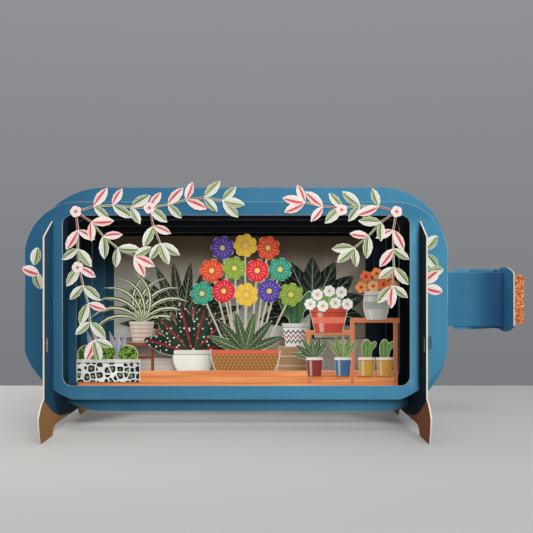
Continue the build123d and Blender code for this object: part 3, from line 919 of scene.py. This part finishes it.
def daisy_pot():
    sheet = Print("daisy_pot", "scene_card")
    x, z = shelf_low.x + shelf_half / 2, stand_z + low_shelf - tuck
    height = 11.5
    rim = z + height
    leaf_tints = [ink(104, 146, 66), ink(134, 170, 84)]
    sheet.fan(leaf(12.0, 2.8), (x, rim - tuck), 7, 25, 155, "leaf", leaf_tints)
    sheet.shape(pot(19.0, 13.5, height), (x, z), 0, "red_pot", ink(196, 76, 58))
    places = ((-3.1, 0.7), (-1.9, 2.3), (-1.0, 0.4), (0.1, 2.9), (1.1, 0.9), (2.1, 2.7), (3.1, 0.7))
    sheet.blooms(2.9, 7, (x, rim), 2.9, places, "daisy", [ink(246, 244, 238)])
    sheet.done()


def jug_blooms():
    sheet = Print("jug_blooms", "scene_card")
    x, z = shelf_low.x + shelf_half * 1.5, stand_z + high_shelf - tuck
    height = 14.0
    rim = z + height
    sheet.fan(leaf(11.0, 2.6), (x, rim - tuck), 5, 35, 145, "leaf", greens)
    sheet.shape(pot(10.5, 9.0, height, 1.3), (x, z), 0, "jug", ink(208, 206, 196))
    tints = [ink(255, 146, 76), ink(252, 104, 62), ink(255, 178, 104)]
    places = ((-2.5, 0.6), (-1.7, 2.4), (-0.5, 0.8), (0.1, 2.9), (1.2, 1.1), (2.0, 2.8), (2.8, 0.9))
    sheet.blooms(2.9, 5, (x, rim), 2.9, places, "poppy", tints)
    sheet.done()


def low_plants():
    """The row of small pots under the shelf."""
    height = 9.0
    seat = stand_z + rail_height
    rim = seat + height - tuck

    def low_pot(sheet, x, tint):
        sheet.shape(pot(8.4, 6.7, height), (x, seat), 0, "plain_pot", tint, steps=(4, 4))
        return sheet

    x = shelf_x - 18.4
    red = Print("red_pot", "scene_card")
    red.fan(leaf(11.4, 3.0), (x, rim), 6, 55, 165, "leaf", deep_greens)
    low_pot(red, x, ink(142, 54, 50)).done()
    x = shelf_x - 4.6
    blue = Print("blue_pot", "scene_card")
    blue.fan(leaf(11.4, 3.0), (x, rim), 5, 52, 128, "leaf", greens)
    low_pot(blue, x, ink(70, 104, 140)).done()
    mustard = Print("mustard_pots", "scene_card")
    for x in (shelf_x + 6.9, shelf_x + 15.64):
        mustard.oval(5.2, 10.4, (x, rim + 4.37), "cactus", ink(120, 160, 84))
        mustard.oval(3.0, 6.0, (x + 2.6, rim + 6.03), "cactus", ink(132, 170, 92), -38)
        low_pot(mustard, x, ink(206, 156, 66))
    mustard.done()


def stool_plant():
    """Arching plant in a hooped pot, on a stool."""
    sheet = Print("stool_plant", "scene_card")
    x = window_left + stool_place
    seat = stand_z + 17.0
    leg, rail = 5.7, 1.7
    for side in (-1, 1):
        foot = x + side * leg
        sheet.bar((foot, stand_z), (foot, seat - 0.9), rail, "timber", stool_timber)
    z = stand_z + 9.4
    sheet.bar((x - leg, z), (x + leg, z), rail, "timber", stool_timber)
    sheet.bar((x - 7.4, seat - 0.9), (x + 7.4, seat - 0.9), rail, "timber", ink(160, 92, 62))
    height = 11.0
    sheet.shape(pot(13.0, 9.5, height), (x, seat), 0, "hooped_pot", ink(232, 214, 196))
    root = (x, seat + height - tuck)
    tints = [ink(92, 122, 58), ink(72, 100, 48)]
    sheet.fan(blade(27.0, 2.3, 5.6, 1), root, 6, -14, 80, "ribbon", tints)
    sheet.fan(blade(27.0, 2.3, 5.6, -1), root, 6, 100, 194, "ribbon", tints)
    sheet.done()


def bowl_plant():
    """Spotted and crimson leaves in a white bowl."""
    sheet = Print("bowl_plant", "scene_card")
    x = window_left + bowl_place
    root = (x, stand_z + 11.9)
    crimsons = [ink(120, 32, 44), ink(96, 26, 38)]
    spotted_greens = [ink(46, 68, 50), ink(34, 54, 42)]
    sheet.fan(leaf(24.0, 7.4, 0.92), root, 5, 31, 149, "leaf", crimsons)
    sheet.fan(leaf(27.0, 9.4, 0.92), root, 6, 16, 164, "spotted", spotted_greens)
    bowl = pot(20.0, 10.0, 13.5, 2.2)
    sheet.shape(bowl, (x, stand_z), 0, "plain_pot", ink(255, 252, 240))
    sheet.done()


def basket_bouquet():
    """Woven trug of tall round blooms."""
    sheet = Print("basket_bouquet", "scene_card")
    x = window_left + trug_place
    height = 14.0
    rim = stand_z + height
    radius = 6.1
    places = ((-3.6, 4.7), (-1.8, 4.9), (0.1, 4.6), (2.0, 4.9), (3.8, 4.6), (-2.8, 6.6),
              (-0.9, 6.8), (1.0, 6.6), (2.9, 6.7), (-1.9, 8.5), (0.0, 8.7), (1.9, 8.5))
    red, orange, yellow = ink(240, 50, 56), ink(240, 84, 40), ink(252, 202, 60)
    teal, violet, lime = ink(54, 164, 130), ink(92, 70, 168), ink(146, 176, 54)
    tints = (teal, red, yellow, violet, lime, orange, lime, red, teal, violet, yellow, orange)
    for dx, dz in places:
        start = (x + dx * radius * 0.4, rim - tuck)
        end = (x + dx * radius, rim + dz * radius)
        sheet.bar(start, end, 0.7, "stem", ink(206, 200, 176))
    sheet.fan(leaf(21.0, 5.2, 0.9), (x, rim - tuck), 6, 22, 158, "leaf", deep_greens)
    sheet.blooms(radius, 7, (x, rim), radius, places, "bloom", tints)
    trug = pot(36.0, 26.0, height, 1.1)
    sheet.shape(trug, (x, stand_z), 0, "basket", ink(196, 140, 84), steps=(12, 8))
    sheet.done()


def crate_cactus():
    """Cactus in a zigzag pot, on a crate of three boards."""
    sheet = Print("crate_cactus", "scene_card")
    x = window_left + crate_place
    board = 5.0
    top = stand_z + board * 3
    height = 12.0
    rim = top + height
    for row in range(3):
        z = stand_z + board / 2 + board * row
        sheet.bar((x - 8.7, z), (x + 8.7, z), 4.6, "timber", ink(196, 156, 112))
    stem = 22.0
    for side, rise in ((-1, 0.37), (1, 0.5)):
        place = (x + side * 5.1, rim + rise * stem)
        sheet.oval(4.8, 12.8, place, "cactus", ink(96, 142, 92), -side * 24)
    sheet.oval(8.8, stem, (x, rim + 8.14), "cactus", ink(84, 130, 82))
    sheet.shape(pot(14.0, 10.4, height), (x, top), 0, "zigzag_pot", ink(254, 252, 244))
    sheet.done()


def wall_ferns():
    """Palm and broad-leaved plant on the room's back wall."""
    mouth = window_height - 2 * (rear_side_margin + tray_lip_side)
    low = axis_height - mouth / 2 + tray_slant_side + fern_rise
    palm_leaf = leaf(34.0, 6.0, 0.94)
    wide_leaf = leaf(29.0, 11.0, 0.95)
    for node, x, trunk, outline, count, first, last, name in (
            ("fern_left", body_x + palm_place, 18.2, palm_leaf, 12, 0, 180, "leaf"),
            ("fern_right", body_x + wide_fern_place, 25.2, wide_leaf, 9, -10, 190, "split")):
        sheet = Print(node, "fern_card")
        sheet.bar((x, low), (x, low + trunk), 1.8, "stem", ink(46, 52, 40))
        sheet.fan(outline, (x, low + trunk), count, first, last, name, fern_greens)
        sheet.done()


def room_wall():
    """Print on the back of the tray, a little larger than the flat part."""
    spread = 0.2
    low, high = (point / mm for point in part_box("rear_tray"))
    sheet = Print("rear_tray", "tray_card", high.y - print_card - Print.clearance)
    width = high.x - low.x - 2 * (tray_glue_end + tray_lip_end + tray_slant_end) + spread
    height = high.z - low.z - 2 * (tray_glue_side + tray_lip_side + tray_slant_side) + spread
    foot = (body_x, axis_height - height / 2)
    sheet.shape(plate(width, height), foot, 0, "wall", wall_cream)
    sheet.done()


def wing_leaves():
    """Leaves printed straight on the front panel, outside the cradles. Their places are from
    the panel's left or right end and from the axis."""
    sheet = Print("front_panel", "blue_card")
    left = ((4.1, 16.0, 78), (4.6, 13.0, -70), (6.6, 12.0, 160))
    right = ((-10.2, 23.0, 50), (-9.8, 21.0, -52), (-10.0, 12.5, 12), (-10.4, 6.0, -14),
             (-10.4, 8.0, 40))
    for end, seats, first, step in ((panel_low.x, left, 0.3, 0.2), (panel_high.x, right, 0.15, 0.17)):
        for i, (dx, dz, angle) in enumerate(seats):
            place = (end + dx, axis_height + dz)
            tint = greens[i % len(greens)]
            sheet.shape(leaf(8.4, 5.0, 0.95), place, angle, "garland", tint, first + step * i)
    sheet.done()


orange_boards = boards(ink(250, 168, 108), ink(222, 126, 74), (22.0, 22.0, 900.0),
                       0.33, 0.05, 0.35, ink(186, 100, 58))
beige_boards = boards(floor_beige, ink(206, 190, 178), (20.0, 20.0, 700.0),
                      0.26, 0.04, 0.3, ink(168, 148, 134))
sprig_paper = plain_ink(bare_card, ink(242, 238, 224))
fern_paper = plain_ink(ink(30, 38, 32), ink(44, 54, 44))
cut_paper = plain_ink(ink(224, 216, 196), ink(236, 230, 214))

dress(["front_panel"], card_finish("blue_card", across_y, front_ink, 0.85))
dress(["rear_panel"], card_finish("inner_card", across_y, frame_ink, 0.2))
dress(["middle_panel"], card_finish("bottle_card", across_y, body_ink, 0.2))
dress(["rear_tray"], card_finish("tray_card", None, tray_ink, 0.2))
dress(["neck_brace"], card_finish("brace_card", along_fold, blue_ink))
dress(["left_cradle", "right_cradle"], card_finish("cradle_card", across_x, cradle_ink, 1.0))
dress(["lip_disc"], card_finish("lip_card", across_x, lip_ink, 0.25))
dress(["front_floor_strip"], card_finish("board_card", across_y, orange_boards))
dress(["rear_floor_strip"], card_finish("rear_board_card", across_y, beige_boards))
dress(["left_garland", "right_garland"], card_finish("sprig_card", across_y, sprig_paper))
dress(["fern_left", "fern_right"], card_finish("fern_card", across_y, fern_paper))
dress(["planter_box", "shelf_stand", "daisy_pot", "jug_blooms", "red_pot", "blue_pot",
       "mustard_pots", "stool_plant", "bowl_plant", "basket_bouquet", "crate_cactus"],
      card_finish("cutout_card", across_y, cut_paper))

for print_piece in (left_garland, right_garland, planter_box, shelf_stand, daisy_pot, jug_blooms,
                    low_plants, stool_plant, bowl_plant, basket_bouquet, crate_cactus,
                    wall_ferns, room_wall, wing_leaves):
    print_piece()


def table_finish():
    """Pale table top with painted light for the camera, brighter left and dimmer far right and in
    front, and a painted shadow under the card.
    """
    finish = Finish("table_top", 0.7)
    vector = finish.vector()
    x, y, z = finish.place(vector)
    pale = finish.mix(finish.noise(vector, 6.0), ink(158, 157, 154), ink(162, 161, 158))
    finish.paint("Base Color", finish.mix(finish.seen(), ink(150, 150, 150), pale))
    # Painted light on the table, with painted shade far right, in front and under the card
    painted_shading_rightward = x.fade(-160.0, 200.0)
    painted_far_shade = x.fade(0.0, 140.0) * y.fade(-50.0, 160.0)
    painted_near_shade = 1.0 - y.fade(-190.0, -100.0)
    painted_floor_light = finish.mix(painted_shading_rightward, ink(134, 132, 129), ink(84, 87, 91))
    painted_floor_light = finish.mix(painted_far_shade * 0.62, painted_floor_light, ink(18, 6, 0))
    painted_floor_light = finish.mix(painted_near_shade * 0.5, painted_floor_light, ink(54, 60, 70))
    beside = x - body_x
    painted_card_shadow = beside.inside(cradle_reach + 4.0, 8.0) * (1.0 - y.fade(60.0, 90.0))
    from_front = y + abs(beside).fade(50.0, 88.0) * 35.0
    painted_floor_light = finish.mix(painted_card_shadow * from_front.fade(16.0, 45.0) * 0.9, painted_floor_light, ink(0, 0, 0))
    finish.paint("Emission Color", finish.mix(finish.seen(), ink(0, 0, 0), painted_floor_light))
    finish.surface.inputs["Emission Strength"].default_value = 1.0
    return finish.material


def lay_table():
    """Square table top under the card, in metres."""
    half, far_edge = 1.5, 0.165
    bm = bmesh.new()
    bmesh.ops.create_grid(bm, x_segments=1, y_segments=1, size=half)
    bmesh.ops.translate(bm, verts=bm.verts, vec=(0.0, far_edge - half, 0.0))
    mesh = bpy.data.meshes.new("table")
    bm.to_mesh(mesh)
    bm.free()
    table = bpy.data.objects.new("table", mesh)
    bpy.context.scene.collection.objects.link(table)
    mesh.materials.append(table_finish())


def surroundings():
    """Grey backdrop for the camera, and soft light from above for the card."""
    world = bpy.data.worlds.new("studio")
    bpy.context.scene.world = world
    world.use_nodes = True
    nodes = world.node_tree.nodes
    sky = Shader(world.node_tree)
    height = sky.split(sky.node("ShaderNodeTexCoord", output="Generated"))[2]

    def with_height(low, high, first, last):
        """A colour that changes with height over the horizon."""
        level = sky.node("ShaderNodeMapRange", inputs={0: height, 1: low, 2: high})
        return sky.mix(level, first, last)

    around = nodes["Background"]
    sky.feed(around.inputs["Color"], with_height(0.1, 0.95, ink(82, 84, 88), ink(226, 229, 234)))
    backdrop = with_height(-0.115, 0.3, ink(121, 122, 126), ink(145, 146, 150))
    backdrop = sky.node("ShaderNodeBackground", inputs={"Color": backdrop})
    both = {0: sky.seen(), 1: Value(sky, around.outputs[0]), 2: backdrop}
    sky.feed(nodes["World Output"].inputs["Surface"], sky.node("ShaderNodeMixShader", inputs=both))


def lamp(name, place, width, watts):
    """Soft square lamp that shines on the middle of the card, in metres."""
    light = bpy.data.lights.new(name, "AREA")
    light.size = width
    light.energy = watts
    stand = bpy.data.objects.new(name, light)
    stand.location = place
    aim = Vector((0.0, 0.0, 0.05)) - Vector(place)
    stand.rotation_euler = aim.to_track_quat("-Z", "Y").to_euler()
    bpy.context.scene.collection.objects.link(stand)


def eye():
    """Camera level with the card's upper half, a little left of the middle."""
    camera = bpy.data.cameras.new("camera")
    camera.lens = 60.9
    camera.sensor_width = 36.0
    camera.shift_x = 0.0159
    camera.shift_y = 0.0291
    stand = bpy.data.objects.new("camera", camera)
    stand.location = (-0.00905, -0.4393, 0.0694)
    stand.rotation_euler = (pi / 2, 0.0, 0.0)
    bpy.context.scene.collection.objects.link(stand)
    return stand


lay_table()
surroundings()
lamp("key", (0.17, -0.66, 0.68), 0.36, 3.9)
lamp("fill", (0.04, -1.3, 0.36), 0.6, 8.5)
lamp("back", (0.2, 1.1, 0.8), 0.8, 3.0)
bpy.context.scene.camera = eye()
bpy.context.scene.view_settings.view_transform = "Standard"
